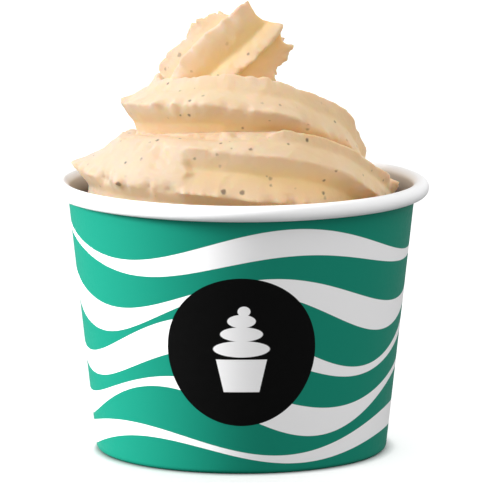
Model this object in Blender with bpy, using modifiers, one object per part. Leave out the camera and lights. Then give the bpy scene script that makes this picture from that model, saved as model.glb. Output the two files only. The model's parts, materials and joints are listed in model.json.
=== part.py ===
"""A paper cup of gelato: a rolled-rim cup, the base disc crimped into its foot, and one piped swirl.

Blender 4.5. The scene is in metres, +Z is up, and the origin is on the floor under the cup's axis.
The sizes below are in millimetres. Angles round the cup start at the front (-Y) and grow towards
the right (+X). Heights in the swirl's routes are measured from the rim.
"""

import math
import random

import bmesh
import bpy
import numpy as np

MM = 0.001

# The cup
CUP_HEIGHT = 58.0
RIM_RADIUS = 40.0
FOOT_RADIUS = 31.1
WALL_TOP_RADIUS = 36.9  # outside of the wall, carried up to the rim's height
BOARD = 0.5  # thickness of the paperboard
ROLL_RADIUS = 1.7  # outside of the rolled rim
ROLL_TURN = 292.0  # degrees of curl in the rolled rim
ROLL_POINTS = 11
FOLD_POINTS = 6  # in the fold at the foot, an even number, so that it stands on a flat ring
ROUND_STEPS = 64
GAP = 0.3  # clearance between pieces that touch

# The base disc, its skirt, and the hem that folds up inside the skirt
BASE_HEIGHT = 6.5
HEM_HEIGHT = 5.0
SKIRT_FOOT = 1.6
BASE_BEND = 0.8

# The gelato that fills the cup up to the coils, and the middle that they lie round
FILL_BELOW_RIM = 3.9
FILL_DOME = 1.2  # how much higher it is under the middle of the swirl
CORE_DEPTH = 12.0
CORE_TOP = 15.0
CORE_FOOT_RADIUS = 19.0
CORE_TOP_RADIUS = 4.0
CORE_STEPS = 32

# The nozzle's star: each ridge's place round the rope, in degrees from straight outward, turning up
COIL_RIDGES = (-12, 33, 66, 94, 121, 150, 189, 214, 243, 276, 311)
GROOVE_DEPTH = 0.27  # of the rope's radius, for a groove of GROOVE_WIDTH degrees
GROOVE_WIDTH = 36.0
COIL_LEAN = 1.5  # above 1, a groove bites in under the ridge above it
PEAK_LEAN = 0.7  # below 1, it lies close over the ridge below it
POINTS_PER_RIDGE = 5

# The coil's stations, from inside the filling upwards: angle round the cup, distance from the axis,
# height, rope radius, and the star's roll in degrees
COIL = (
    (180, 21.5, -19.0, 11.4, -44),
    (150, 22.0, -14.5, 11.5, -44),
    (120, 22.0, -10.5, 11.8, -44),
    (85, 21.5, -5.5, 12.2, -44),
    (60, 20.5, 0.8, 12.2, -40),
    (47, 20.1, 2.5, 12.2, -29),
    (30, 20.1, 3.5, 12.2, -16),
    (0, 20.6, 3.1, 12.3, 0),
    (-45, 21.0, 1.5, 12.3, 15),
    (-90, 21.0, -1.5, 12.3, 30),
    (-180, 20.0, -3.0, 12.3, 25),
    (-240, 18.0, -4.5, 12.3, 8),
    (-260, 16.5, -2.5, 12.3, 2),
    (-277, 15.6, 1.5, 12.3, 0),
    (-288, 15.0, 5.5, 12.3, 4),
    (-304, 14.2, 9.8, 12.3, 11),
    (-318, 13.8, 11.0, 12.3, 19),
    (-330, 13.9, 12.0, 12.3, 27),
    (-360, 14.7, 12.4, 12.3, 41),
    (-450, 14.7, 10.2, 12.3, 43),
    (-500, 12.2, 10.4, 12.0, 44),
    (-550, 9.6, 9.6, 11.2, 42),
    (-600, 7.6, 7.0, 9.6, 38),
    (-650, 6.5, 2.5, 7.5, 35),
)
COIL_PIECES = 3
AXIS_CLEARANCE = 0.4
PRESSED_FROM = -300  # past this angle round the cup, the peak's weight flattens the coil
PRESSED = 0.22  # of the rope's radius, over the coil's top and inner side

# The peak's stations: across, deep, height, rope radius and roll
PEAK = (
    (-8.5, 3.0, 0.0, 10.0, 0),
    (-10.5, 2.0, 10.0, 10.8, 0),
    (-6.8, 1.0, 20.0, 10.7, 0),
    (-1.0, 0.0, 27.5, 10.3, 0),
    (4.2, 0.0, 33.0, 9.7, 0),
)
PEAK_RIDGES = (-15, 28, 66, 105, 152, 191, 240, 283, 318)
# How far each ridge runs on past the peak's end, where the rope broke off
PEAK_FINS = (0.0, -1.0, -5.5, -6.5, 3.6, 4.4, 2.0, 0.0, 1.0)
FIN_NOTCH = 1.8  # how much shorter the rope broke off in the grooves
FIN_REACH = 9.0  # how far back from the end the fins change the peak
FIN_TUCK = 0.08  # how far the fins lean in, as a share of the rope's radius
PEAK_HOLLOW = 0.6

# Places where a ridge stands out or is worn down: ridge, angle round the cup, half width, change
RIDGE_MARKS = (
    (0, -88, 30, 3.6),
    (1, -42, 24, -1.5),
    (1, -90, 25, -1.0),
    (10, -425, 95, -4.5),
    (10, -50, 70, 2.5),
    (3, 62, 50, -3.5),
)
RING_SPACING = 2.1  # between sections along the rope
WAVES = ((23.0, 0.28), (11.0, 0.16))  # wavelength and height of the ridges' unevenness
SEED = 7


def wall_radius(height):
    """Outside radius of the cup's wall at a height above the floor."""
    return FOOT_RADIUS + (WALL_TOP_RADIUS - FOOT_RADIUS) * height / CUP_HEIGHT


def middle_radius(height):
    """Radius of the middle of the wall's board."""
    return wall_radius(height) - BOARD / 2


def arc(centre, radius, start, end, points):
    """Points on an arc in the (radius, height) plane, angles in degrees from outward."""
    return [
        (
            centre[0] + radius * math.cos(math.radians(a)),
            centre[1] + radius * math.sin(math.radians(a)),
        )
        for a in np.linspace(start, end, points)
    ]


def clear_scene():
    for obj in list(bpy.data.objects):
        bpy.data.objects.remove(obj)


def material(name, colour, roughness):
    made = bpy.data.materials.new(name)
    made.use_nodes = True
    shader = made.node_tree.nodes["Principled BSDF"]
    shader.inputs["Base Color"].default_value = (*colour, 1.0)
    shader.inputs["Roughness"].default_value = roughness
    shader.inputs["Metallic"].default_value = 0.0
    return made


def mesh_object(name, points, edges, faces, collection):
    mesh = bpy.data.meshes.new(name)
    mesh.from_pydata([tuple(c * MM for c in p) for p in points], edges, faces)
    mesh.update()
    obj = bpy.data.objects.new(name, mesh)
    collection.objects.link(obj)
    return obj


def turned(name, outline, collection, steps):
    """The outline, given as (radius, height) points, turned round the cup's axis."""
    points = [(r, 0.0, z) for r, z in outline]
    edges = [(i, i + 1) for i in range(len(points) - 1)]
    obj = mesh_object(name, points, edges, [], collection)
    screw = obj.modifiers.new("turn", "SCREW")
    screw.steps = steps
    screw.render_steps = steps
    screw.use_merge_vertices = True
    screw.merge_threshold = 0.00001
    screw.use_smooth_shade = True
    return obj


def board_sheet(name, outline, collection):
    """A turned sheet of paperboard whose middle follows the outline."""
    obj = turned(name, outline, collection, ROUND_STEPS)
    thicken = obj.modifiers.new("board", "SOLIDIFY")
    thicken.thickness = BOARD * MM
    thicken.offset = 0.0
    thicken.use_even_offset = True
    return obj


def cup_wall(collection, paper):
    """The wall, with its rim rolled outward and its foot folded in and up to make the hem."""
    roll = ROLL_RADIUS - BOARD / 2
    roll_centre = (RIM_RADIUS - ROLL_RADIUS, CUP_HEIGHT - ROLL_RADIUS)
    curl = arc(roll_centre, roll, 180.0 - ROLL_TURN, 180.0, ROLL_POINTS)
    hem_inset = BOARD * 2 + GAP * 2
    fold = hem_inset / 2
    flat_foot = fold * math.cos(math.radians(90.0 / (FOLD_POINTS - 1)))
    fold_centre = (middle_radius(0.0) - fold, BOARD / 2 + flat_foot)
    outline = curl
    outline += arc(fold_centre, fold, 0.0, -180.0, FOLD_POINTS)
    outline += [(middle_radius(HEM_HEIGHT) - hem_inset, HEM_HEIGHT)]
    wall = board_sheet("cup_wall", outline, collection)
    wall.data.materials.append(paper)
    return wall


def cup_base(collection, paper):
    """The base: a disc whose skirt is held between the wall and the hem."""
    inset = BOARD + GAP
    skirt = middle_radius(SKIRT_FOOT) - inset
    shoulder = middle_radius(BASE_HEIGHT) - inset
    middle = BASE_HEIGHT - BOARD / 2
    bend_centre = (shoulder - BASE_BEND, middle - BASE_BEND)
    outline = [(0.0, middle)]
    outline += arc(bend_centre, BASE_BEND, 90.0, 0.0, 4)
    outline += [(skirt, SKIRT_FOOT)]
    base = board_sheet("cup_base", outline, collection)
    base.data.materials.append(paper)
    return base


def smooth_curve(keys, values, at):
    """A smooth curve through the stations, as cubic pieces with unequal steps."""
    keys = np.asarray(keys, float)
    values = np.asarray(values, float)
    step = np.diff(keys)[:, None]
    slope = np.diff(values, axis=0) / step
    tangent = np.vstack([slope[:1], slope])
    inner = (slope[1:] * step[:-1] + slope[:-1] * step[1:]) / (step[:-1] + step[1:])
    tangent[1:-1] = inner
    k = np.clip(np.searchsorted(keys, at, side="right") - 1, 0, len(keys) - 2)
    h = step[k]
    s = ((at - keys[k]) / h[:, 0])[:, None]
    return (
        (2 * s**3 - 3 * s**2 + 1) * values[k]
        + (s**3 - 2 * s**2 + s) * h * tangent[k]
        + (3 * s**2 - 2 * s**3) * values[k + 1]
        + (s**3 - s**2) * h * tangent[k + 1]
    )


def star_section(ridges, lean):
    """One entry for each point round the rope: its ridge, angle, share of the way to the next
    ridge, and how deep the groove is there as a share of the rope's radius."""
    section = []
    for ridge, start in enumerate(ridges):
        width = (ridges[(ridge + 1) % len(ridges)] - start) % 360
        depth = GROOVE_DEPTH * (width / GROOVE_WIDTH) ** 0.8
        for point in range(POINTS_PER_RIDGE):
            share = point / POINTS_PER_RIDGE
            bite = math.sin(math.pi * share**lean)
            section.append((ridge, math.radians(start + share * width), share, depth * bite))
    return section


def ridge_waves():
    """For each ridge, the waves that make its height uneven: (wavelength, height, phase)."""
    draw = random.Random(SEED)
    return [
        [(length, height, draw.uniform(0, 2 * math.pi)) for length, height in WAVES]
        for _ in COIL_RIDGES
    ]


def ridge_change(ridge, along, angle, waves):
    """How far a ridge stands above its usual height, in millimetres, at a point of the rope."""
    change = sum(h * math.sin(2 * math.pi * along / length + p) for length, h, p in waves[ridge])
    for marked, centre, half_width, height in RIDGE_MARKS:
        off = abs(angle - centre) / half_width
        if marked == ridge and off < 1:
            change += height * (0.5 + 0.5 * math.cos(math.pi * off))
    return change


def rope_radii(section, radius, along, angle, waves):
    """The rope's radius at each point of one section."""
    count = section[-1][0] + 1
    radii = []
    for ridge, _, share, bite in section:
        here = ridge_change(ridge, along, angle, waves)
        after = ridge_change((ridge + 1) % count, along, angle, waves)
        radii.append(radius * (1 - bite) + here * (1 - share) ** 2 + after * share**2)
    return np.array(radii)


def smooth_step(value, start, end):
    """0 before start, 1 past end, and a smooth change between them."""
    share = np.clip((value - start) / (end - start), 0.0, 1.0)
    return share * share * (3 - 2 * share)


def coil_rings():
    """Sections of the coil, each in the upright plane through the cup's axis."""
    section = star_section(COIL_RIDGES, COIL_LEAN)
    waves = ridge_waves()
    stations = np.array(COIL, float)
    keys = -stations[:, 0]
    fine = np.linspace(keys[0], keys[-1], 2000)
    route = smooth_curve(keys, stations[:, 1:], fine)
    arc_step = np.hypot(np.gradient(np.radians(fine)) * route[:, 0], np.gradient(route[:, 1]))
    length = np.concatenate([[0.0], np.cumsum(arc_step)[1:]])
    marks = np.linspace(0.0, length[-1], int(length[-1] / RING_SPACING) + 1)
    at = np.interp(marks, length, fine)
    route = smooth_curve(keys, stations[:, 1:], at)
    angles = np.array([entry[1] for entry in section])
    rings = []
    for i, (distance, height, radius, roll) in enumerate(route):
        turn = math.radians(-at[i])
        outward = np.array((math.sin(turn), -math.cos(turn), 0.0))
        phi = angles + math.radians(roll)
        radii = rope_radii(section, radius, marks[i], -at[i], waves)
        under = smooth_step(at[i], -PRESSED_FROM - 20, -PRESSED_FROM + 20)
        turned_up = np.degrees(phi) % 360
        top = smooth_step(turned_up, 72, 105) * (1 - smooth_step(turned_up, 230, 270))
        radii *= 1 - PRESSED * under * top
        out = np.maximum(distance + radii * np.cos(phi), AXIS_CLEARANCE)
        up = CUP_HEIGHT + height + radii * np.sin(phi)
        rings.append(np.outer(out, outward) + np.outer(up, (0.0, 0.0, 1.0)))
    return rings


def fin_lengths(section):
    """How far each point of the peak's section runs on past the peak's end."""
    count = len(PEAK_RIDGES)
    lengths = []
    for ridge, _, share, _ in section:
        ridge_fin = PEAK_FINS[ridge] * (1 - share) + PEAK_FINS[(ridge + 1) % count] * share
        lengths.append(ridge_fin - FIN_NOTCH * math.sin(math.pi * share))
    return np.array(lengths)


def peak_rings():
    """Sections of the peak, square to its route. The last ones run on into fins or stop short."""
    section = star_section(PEAK_RIDGES, PEAK_LEAN)
    waves = ridge_waves()
    fins = fin_lengths(section)
    stations = np.array(PEAK, float)
    hops = np.linalg.norm(np.diff(stations[:, :3], axis=0), axis=1)
    keys = np.concatenate([[0.0], np.cumsum(hops)])
    marks = np.linspace(0.0, keys[-1], int(keys[-1] / RING_SPACING) + 1)
    route = smooth_curve(keys, stations, marks)
    centres = route[:, :3] + (0.0, 0.0, CUP_HEIGHT)
    along = np.gradient(centres, axis=0)
    along /= np.linalg.norm(along, axis=1)[:, None]
    angles = np.array([entry[1] for entry in section])
    rings = []
    for i, centre in enumerate(centres):
        outward = np.cross((0.0, 0.0, 1.0), along[i])
        outward /= np.linalg.norm(outward)
        upward = np.cross(along[i], outward)
        phi = angles + math.radians(route[i, 4])
        near_end = max(0.0, 1 - (marks[-1] - marks[i]) / FIN_REACH)
        radii = rope_radii(section, route[i, 3], marks[i], math.inf, waves)
        radii *= 1 - FIN_TUCK * near_end**4
        rings.append(
            centre
            + np.outer(radii * np.cos(phi), outward)
            + np.outer(radii * np.sin(phi), upward)
            + np.outer(fins * near_end, along[i])
        )
    rings.append((rings[-1] + centres[-1]) / 2 - PEAK_HOLLOW * along[-1])
    return rings


def rope_piece(name, rings, start, end, collection):
    """A closed piece of rope, lofted through unlike star-shaped sections from start to end. Each
    end is a cone, whose point lies in the next piece, so that the pieces join cleanly."""
    around = len(rings[0])
    points = [tuple(p) for ring in rings[start : end + 1] for p in ring]
    faces = []
    for i in range(end - start):
        for j in range(around):
            a = i * around + j
            b = i * around + (j + 1) % around
            faces.append((a, b, b + around, a + around))
    first = len(points)
    points.append(tuple(np.mean(rings[max(start - 1, 0)], axis=0)))
    points.append(tuple(np.mean(rings[min(end + 1, len(rings) - 1)], axis=0)))
    edge = (end - start) * around
    for j in range(around):
        k = (j + 1) % around
        faces.append((first, k, j))
        faces.append((first + 1, edge + j, edge + k))
    return mesh_object(name, points, [], faces, collection)


def filling(collection):
    """The gelato that fills the cup up to the coil, shaped by the wall and the base."""
    foot = BASE_HEIGHT + GAP
    level = CUP_HEIGHT - FILL_BELOW_RIM
    inset = BOARD + GAP
    outline = [
        (0.0, level + FILL_DOME),
        (wall_radius(level) - inset, level),
        (wall_radius(foot) - inset, foot),
        (0.0, foot),
    ]
    return turned("gelato", outline, collection, ROUND_STEPS)


def core(collection):
    """The swirl's middle, which closes the hollow that the coils would leave."""
    foot = CUP_HEIGHT - CORE_DEPTH
    top = CUP_HEIGHT + CORE_TOP
    outline = [(0.0, top), (CORE_TOP_RADIUS, top), (CORE_FOOT_RADIUS, foot), (0.0, foot)]
    return turned("core", outline, collection, CORE_STEPS)


def applied(obj):
    """The object's mesh as its modifiers leave it, with the modifiers gone."""
    graph = bpy.context.evaluated_depsgraph_get()
    mesh = bpy.data.meshes.new_from_object(obj.evaluated_get(graph))
    obj.modifiers.clear()
    obj.data = mesh
    return obj


def without_hollows(mesh):
    """Keeps only the outer surface, so that the hollows shut in between the coils are solid."""
    edit = bmesh.new()
    edit.from_mesh(mesh)
    lowest = min(edit.verts, key=lambda vert: vert.co.z)
    outer = {lowest}
    front = [lowest]
    while front:
        vert = front.pop()
        near = {edge.other_vert(vert) for edge in vert.link_edges} - outer
        outer |= near
        front.extend(near)
    bmesh.ops.delete(edit, geom=[v for v in edit.verts if v not in outer], context="VERTS")
    edit.to_mesh(mesh)
    edit.free()


def gelato(collection, food):
    """The filling, core, coil and peak, joined into the one mass that they are."""
    pieces = bpy.data.collections.new("gelato_pieces")
    bpy.context.scene.collection.children.link(pieces)
    rings = coil_rings()
    size = math.ceil((len(rings) - 1) / COIL_PIECES)
    for n, start in enumerate(range(0, len(rings) - 1, size)):
        rope_piece(f"coil_{n}", rings, start, min(start + size, len(rings) - 1), pieces)
    peak = peak_rings()
    rope_piece("peak", peak, 0, len(peak) - 1, pieces)
    core(pieces)
    body = filling(collection)
    join = body.modifiers.new("join", "BOOLEAN")
    join.operation = "UNION"
    join.operand_type = "COLLECTION"
    join.collection = pieces
    join.solver = "MANIFOLD"
    bpy.context.view_layer.update()
    applied(body)
    for piece in list(pieces.objects):
        bpy.data.objects.remove(piece)
    bpy.data.collections.remove(pieces)
    without_hollows(body.data)
    body.data.materials.clear()
    body.data.materials.append(food)
    body.data.shade_smooth()
    body.data.set_sharp_from_angle(angle=math.radians(50))
    return body


def main():
    clear_scene()
    collection = bpy.data.collections.new("gelato_cup")
    bpy.context.scene.collection.children.link(collection)
    printed = material("printed_board", (0.55, 0.80, 0.72), 0.45)
    plain = material("plain_board", (0.80, 0.79, 0.77), 0.6)
    food = material("gelato", (0.86, 0.68, 0.46), 0.55)
    cup_wall(collection, printed)
    cup_base(collection, plain)
    gelato(collection, food)


main()
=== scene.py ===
# %% [markdown]
# # A paper cup of gelato
#
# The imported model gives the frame: where the cup stands, how big it is, and how far the swirl
# reaches. This lesson dresses it. The cup's board, its print and the gelato are built again here
# with many more faces, in the same places, and each gets a material made of nodes.

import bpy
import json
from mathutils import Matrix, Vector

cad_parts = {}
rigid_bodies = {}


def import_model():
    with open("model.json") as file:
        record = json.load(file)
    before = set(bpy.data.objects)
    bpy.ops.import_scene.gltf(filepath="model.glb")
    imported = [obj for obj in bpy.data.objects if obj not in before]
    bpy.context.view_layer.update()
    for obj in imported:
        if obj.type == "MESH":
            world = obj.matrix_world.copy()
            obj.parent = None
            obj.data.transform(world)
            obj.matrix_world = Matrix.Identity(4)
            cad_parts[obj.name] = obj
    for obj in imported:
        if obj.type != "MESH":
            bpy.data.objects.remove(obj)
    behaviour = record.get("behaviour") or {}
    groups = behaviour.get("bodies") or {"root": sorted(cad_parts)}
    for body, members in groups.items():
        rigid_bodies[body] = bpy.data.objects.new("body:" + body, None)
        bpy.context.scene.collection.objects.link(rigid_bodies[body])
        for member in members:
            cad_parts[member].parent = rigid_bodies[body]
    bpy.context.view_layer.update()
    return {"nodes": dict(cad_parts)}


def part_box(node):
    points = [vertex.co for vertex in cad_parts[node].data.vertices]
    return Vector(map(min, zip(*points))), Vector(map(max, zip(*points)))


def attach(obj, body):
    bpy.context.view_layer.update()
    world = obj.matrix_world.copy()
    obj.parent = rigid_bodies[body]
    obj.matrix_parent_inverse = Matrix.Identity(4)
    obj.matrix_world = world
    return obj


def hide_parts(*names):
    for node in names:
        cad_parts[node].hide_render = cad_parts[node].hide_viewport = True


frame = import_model()
print("nodes:", ", ".join(sorted(frame["nodes"])))

# %% [markdown]
# ## Measures
#
# The modules below come with Blender. Sizes are in millimetres, as a maker would write them, and
# turn into Blender's metres only when a mesh is made. The frame gives the cup's height and rim, and
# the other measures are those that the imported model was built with. Angles round the cup start at
# the front and grow towards the right.

# %% Modules and measures
import functools
import itertools
import json
import math
import random

import bmesh
import bpy
import numpy as np
from mathutils import Vector, kdtree

MM = 0.001
wall_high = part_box("cup_wall")[1]
CUP_HEIGHT = round(wall_high.z / MM, 2)
RIM_RADIUS = round(wall_high.x / MM, 2)
FOOT_RADIUS = 31.1
WALL_TOP_RADIUS = 36.9
BOARD = 0.5
print(f"cup {CUP_HEIGHT} mm high, {2 * RIM_RADIUS} mm across its rim")

# %% [markdown]
# ## Camera
#
# The photograph looks at the cup from a little above the rim, from far away, with a long lens. A
# long lens keeps the cup's sides straight and the rim's ellipse shallow. The aim point is on the
# cup's axis, so the rim's ellipse is level.

# %% Camera
CAMERA_PLACE = Vector((0.0, -1.1869, 0.2348))
CAMERA_AIM = Vector((0.0, 0.0, 0.0444))
LENS = 419.6

lens = bpy.data.cameras.new("camera")
lens.lens = LENS
lens.sensor_width = 36.0
camera = bpy.data.objects.new("camera", lens)
camera.location = CAMERA_PLACE
camera.rotation_euler = (CAMERA_AIM - CAMERA_PLACE).to_track_quat("-Z", "Y").to_euler()
bpy.context.scene.collection.objects.link(camera)
bpy.context.scene.camera = camera
drop = CAMERA_PLACE - CAMERA_AIM
print("camera looks down by", round(math.degrees(math.atan2(drop.z, -drop.y)), 1), "degrees")

# %% [markdown]
# ## Helpers for meshes and nodes
#
# Every piece is made from lists of points, so one helper turns millimetre points into an object.
# The others add a shader node and feed its sockets in one line, which keeps the materials
# readable. A socket is fed with a number, a colour or another node's output.

# %% Mesh and node helpers
collection = bpy.context.scene.collection


def mesh_object(name, points, faces, into=collection):
    """An object from points in millimetres."""
    mesh = bpy.data.meshes.new(name)
    mesh.from_pydata((np.asarray(points, float) * MM).tolist(), [], faces)
    mesh.update()
    made = bpy.data.objects.new(name, mesh)
    into.objects.link(made)
    return made


def feed(tree, socket, value):
    """Gives a socket its number or colour, or links it to another node's output."""
    if isinstance(value, bpy.types.NodeSocket):
        tree.links.new(value, socket)
    else:
        socket.default_value = value


def add(tree, kind, sockets=None, **settings):
    """A shader node of this kind, with its settings made and its sockets fed."""
    made = tree.nodes.new("ShaderNode" + kind)
    for setting, value in settings.items():
        setattr(made, setting, value)
    for socket, value in (sockets or {}).items():
        feed(tree, made.inputs[socket], value)
    return made


def maths(tree, operation, first, second=0.0, third=0.0):
    """The result of one Math node."""
    made = add(tree, "Math", {0: first, 1: second, 2: third}, operation=operation)
    return made.outputs[0]


def map_range(tree, value, start, end, low=0.0, high=1.0, how="LINEAR"):
    """The value carried from start and end to low and high, and held past both."""
    ends = {"From Min": start, "From Max": end, "To Min": low, "To Max": high}
    return add(tree, "MapRange", {"Value": value, **ends}, interpolation_type=how).outputs[0]


def noise(tree, place, scale, detail, roughness=0.5):
    """A cloudy pattern, mostly between 0.3 and 0.7."""
    sockets = {"Vector": place, "Scale": scale, "Detail": detail, "Roughness": roughness}
    return add(tree, "TexNoise", sockets).outputs["Fac"]


def blend_colour(tree, share, first, second):
    """Two colours mixed by a share."""
    made = add(tree, "Mix", data_type="RGBA")
    named = {socket.identifier: socket for socket in made.inputs}
    feed(tree, named["Factor_Float"], share)
    feed(tree, named["A_Color"], first)
    feed(tree, named["B_Color"], second)
    return next(socket for socket in made.outputs if socket.identifier == "Result_Color")


def from_axis(tree, place):
    """How far a place lies from the cup's axis, in millimetres."""
    parts = add(tree, "SeparateXYZ", {"Vector": place}).outputs
    squares = [maths(tree, "POWER", parts[way], 2.0) for way in ("X", "Y")]
    return maths(tree, "MULTIPLY", maths(tree, "SQRT", maths(tree, "ADD", *squares)), 1 / MM)


def finish(name):
    """A new material, its node tree and its Principled shader."""
    made = bpy.data.materials.new(name)
    made.use_nodes = True
    return made, made.node_tree, made.node_tree.nodes["Principled BSDF"]


def node_group(name, inputs, outputs):
    """A shader node group with named sockets: {name: (kind, value)}."""
    group = bpy.data.node_groups.new(name, "ShaderNodeTree")
    for socket, (kind, value) in inputs.items():
        made = group.interface.new_socket(socket, in_out="INPUT", socket_type="NodeSocket" + kind)
        if value is not None:
            made.default_value = value
    for socket, kind in outputs.items():
        group.interface.new_socket(socket, in_out="OUTPUT", socket_type="NodeSocket" + kind)
    given, result = group.nodes.new("NodeGroupInput"), group.nodes.new("NodeGroupOutput")
    return group, given.outputs, result.inputs


def use_group(tree, group, sockets):
    """A node that runs this group, with its sockets fed."""
    return add(tree, "Group", sockets, node_tree=group)


print("helpers are ready, and new objects go into", collection.name)

# %% [markdown]
# ## Floor
#
# The photograph's background is brighter than white paper can be. A very large pale floor stands
# for it. For the camera it also shines a little, so that it stays white where the cup's shadow
# falls. The shine starts just outside the foot. The ring round the foot that it leaves out is a
# painted contact shadow: only there does the floor's own shade show, as the thin dark line that a
# cup shows where it meets the table. Everything else sees the plain floor, so that the glow doesn't
# light the cup from below.

# %% Floor
FLOOR_HALF = 6000.0
FLOOR_GLOW = 0.42
PAINTED_SHADOW_WIDTH = 2.2
SEEN_FLOOR = (0.86, 0.86, 0.86, 1.0)
DIM_FLOOR = (0.30, 0.30, 0.30, 1.0)

corners = [(x * FLOOR_HALF, y * FLOOR_HALF, 0.0) for x, y in ((-1, -1), (1, -1), (1, 1), (-1, 1))]
floor = mesh_object("floor", corners, [(0, 1, 2, 3)])
floor_finish, tree, shader = finish("pale_floor")
shader.inputs["Roughness"].default_value = 0.8
shader.inputs["Specular IOR Level"].default_value = 0.1
shader.inputs["Emission Color"].default_value = (1.0, 1.0, 1.0, 1.0)
seen = add(tree, "LightPath").outputs["Is Camera Ray"]
away = from_axis(tree, add(tree, "TexCoord").outputs["Object"])
# Painted contact shadow: the glow is cut off in a thin ring round the foot.
glow = map_range(tree, away, FOOT_RADIUS, FOOT_RADIUS + PAINTED_SHADOW_WIDTH, high=FLOOR_GLOW)
feed(tree, shader.inputs["Emission Strength"], maths(tree, "MULTIPLY", seen, glow))
feed(tree, shader.inputs["Base Color"], blend_colour(tree, seen, DIM_FLOOR, SEEN_FLOOR))
floor.data.materials.append(floor_finish)
print("floor:", 2 * FLOOR_HALF * MM, "m across")

# %% [markdown]
# ## Lights
#
# In the photograph the cup is lit strongly from the left and the gelato only softly, as if each
# had been lit on its own. Light linking does the same: each lamp lights the pieces of one
# collection. The gelato's lamp is a little cool, so that the cream is pale on its lit side and
# warm in its shade. The sky fills the rest. It is brighter low down than overhead, as in a studio
# with white walls, so that the undersides of the ridges don't go dark. The picture is developed
# plainly, without a film look, so that white board comes out white.

# %% Lights
LIGHTS = {
    # name: (angle round the cup, angle above the floor, distance, size, watts, what it lights)
    "soft_left": (-77, 28, 1.3, 0.45, 8.1, "gelato"),
    "board_left": (-84, 18, 1.3, 0.40, 36.0, "cup"),
    "board_right": (62, 45, 1.3, 0.90, 2.6, "cup"),
}
LIGHT_COLOURS = {"gelato": (0.85, 1.04, 1.50), "cup": (1.0, 1.0, 1.0)}
AIM_HEIGHT = 0.06

lit = {name: bpy.data.collections.new("lit_" + name) for name in LIGHT_COLOURS}
for name, (around, above, distance, size, watts, receiver) in LIGHTS.items():
    lamp = bpy.data.lights.new(name, "AREA")
    lamp.size = size
    lamp.energy = watts
    lamp.color = LIGHT_COLOURS[receiver]
    holder = bpy.data.objects.new(name, lamp)
    turn, lift = math.radians(around), math.radians(above)
    level = math.cos(lift)
    toward = Vector((level * math.sin(turn), -level * math.cos(turn), math.sin(lift)))
    holder.location = toward * distance + Vector((0, 0, AIM_HEIGHT))
    holder.rotation_euler = (-toward).to_track_quat("-Z", "Y").to_euler()
    holder.light_linking.receiver_collection = lit[receiver]
    collection.objects.link(holder)
print("lights:", ", ".join(LIGHTS))

# %% Sky, and the way the picture is developed
SKY_LOW = 1.16
SKY_HIGH = 0.76

world = bpy.data.worlds.new("studio")
world.use_nodes = True
tree = world.node_tree
sky = tree.nodes["Background"]
sky.inputs["Color"].default_value = (1.0, 1.0, 1.0, 1.0)
direction = add(tree, "TexCoord").outputs["Generated"]
upward = add(tree, "SeparateXYZ", {"Vector": direction}).outputs["Z"]
feed(tree, sky.inputs["Strength"], map_range(tree, upward, 0.0, 1.0, SKY_LOW, SKY_HIGH))
bpy.context.scene.world = world
bpy.context.scene.view_settings.view_transform = "Standard"
bpy.context.scene.view_settings.look = "None"
print("sky:", SKY_LOW, "low down,", SKY_HIGH, "overhead")

# %% [markdown]
# ## The board's cross-section
#
# A paper cup is one sheet of coated board wound into a cone. Its top edge is curled outward into
# a roll, and its foot is folded in and up round the skirt of a separate base disc. The middle line
# of the sheet is drawn once and thickened to both sides, like wrapping a line in half a millimetre
# of board. A Screw and a Solidify modifier could do it too, but here the section is turned in
# code, because the side seam and the small unevenness of a real cup then go in at the same time.

# %% Section of the wall
ROLL_RADIUS = 1.7
ROLL_TURN = 292.0
GAP = 0.3
HEM_HEIGHT = 5.0
CURL_POINTS = 26
WALL_POINTS = 30
FOLD_POINTS = 14
HEM_POINTS = 3


def wall_radius(height):
    """Outside radius of the wall at a height above the floor."""
    return FOOT_RADIUS + (WALL_TOP_RADIUS - FOOT_RADIUS) * height / CUP_HEIGHT


def arc(centre, radius, start, end, points):
    """Points on an arc in the (radius, height) plane, angles in degrees from outward."""
    turn = np.radians(np.linspace(start, end, points))
    return np.column_stack([centre[0] + radius * np.cos(turn), centre[1] + radius * np.sin(turn)])


def straight(start, end, points):
    """Points on a straight line, without its ends."""
    share = np.linspace(0, 1, points + 2)[1:-1, None]
    return np.asarray(start) * (1 - share) + np.asarray(end) * share


def wall_middle():
    """The middle line of the wall's sheet, from the end of the curl to the end of the hem."""
    roll_centre = (RIM_RADIUS - ROLL_RADIUS, CUP_HEIGHT - ROLL_RADIUS)
    curl = arc(roll_centre, ROLL_RADIUS - BOARD / 2, 180.0 - ROLL_TURN, 180.0, CURL_POINTS)
    hem_inset = BOARD * 2 + GAP * 2
    fold = hem_inset / 2
    foot_middle = wall_radius(0.0) - BOARD / 2
    flat_foot = fold * math.cos(math.radians(90.0 / (FOLD_POINTS - 1)))
    fold_centre = (foot_middle - fold, BOARD / 2 + flat_foot)
    folded = arc(fold_centre, fold, 0.0, -180.0, FOLD_POINTS)
    hem_end = np.array([[wall_radius(HEM_HEIGHT) - BOARD / 2 - hem_inset, HEM_HEIGHT]])
    wall = straight(curl[-1], folded[0], WALL_POINTS)
    hem = straight(folded[-1], hem_end[0], HEM_POINTS)
    return np.vstack([curl, wall, folded, hem, hem_end])


def thickened(line, thickness):
    """A closed outline round a line: one side, then the other side back."""
    along = np.gradient(line, axis=0)
    along /= np.linalg.norm(along, axis=1)[:, None]
    across = np.column_stack([-along[:, 1], along[:, 0]])
    return np.vstack([line + across * thickness / 2, (line - across * thickness / 2)[::-1]])


wall_section = thickened(wall_middle(), BOARD)
print("points in the wall's section:", len(wall_section))

# %% [markdown]
# ## Unevenness that can be repeated
#
# Things made by hand are uneven, but a script has to give the same result each time it runs.
# Random values on a lattice, blended smoothly in between, give lumps of a chosen size, and a seed
# fixes them. The cup's rim, the crests of the gelato and its surface all use this noise.

# %% Smooth noise and smooth steps
NOISE_CELLS = 32


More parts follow.
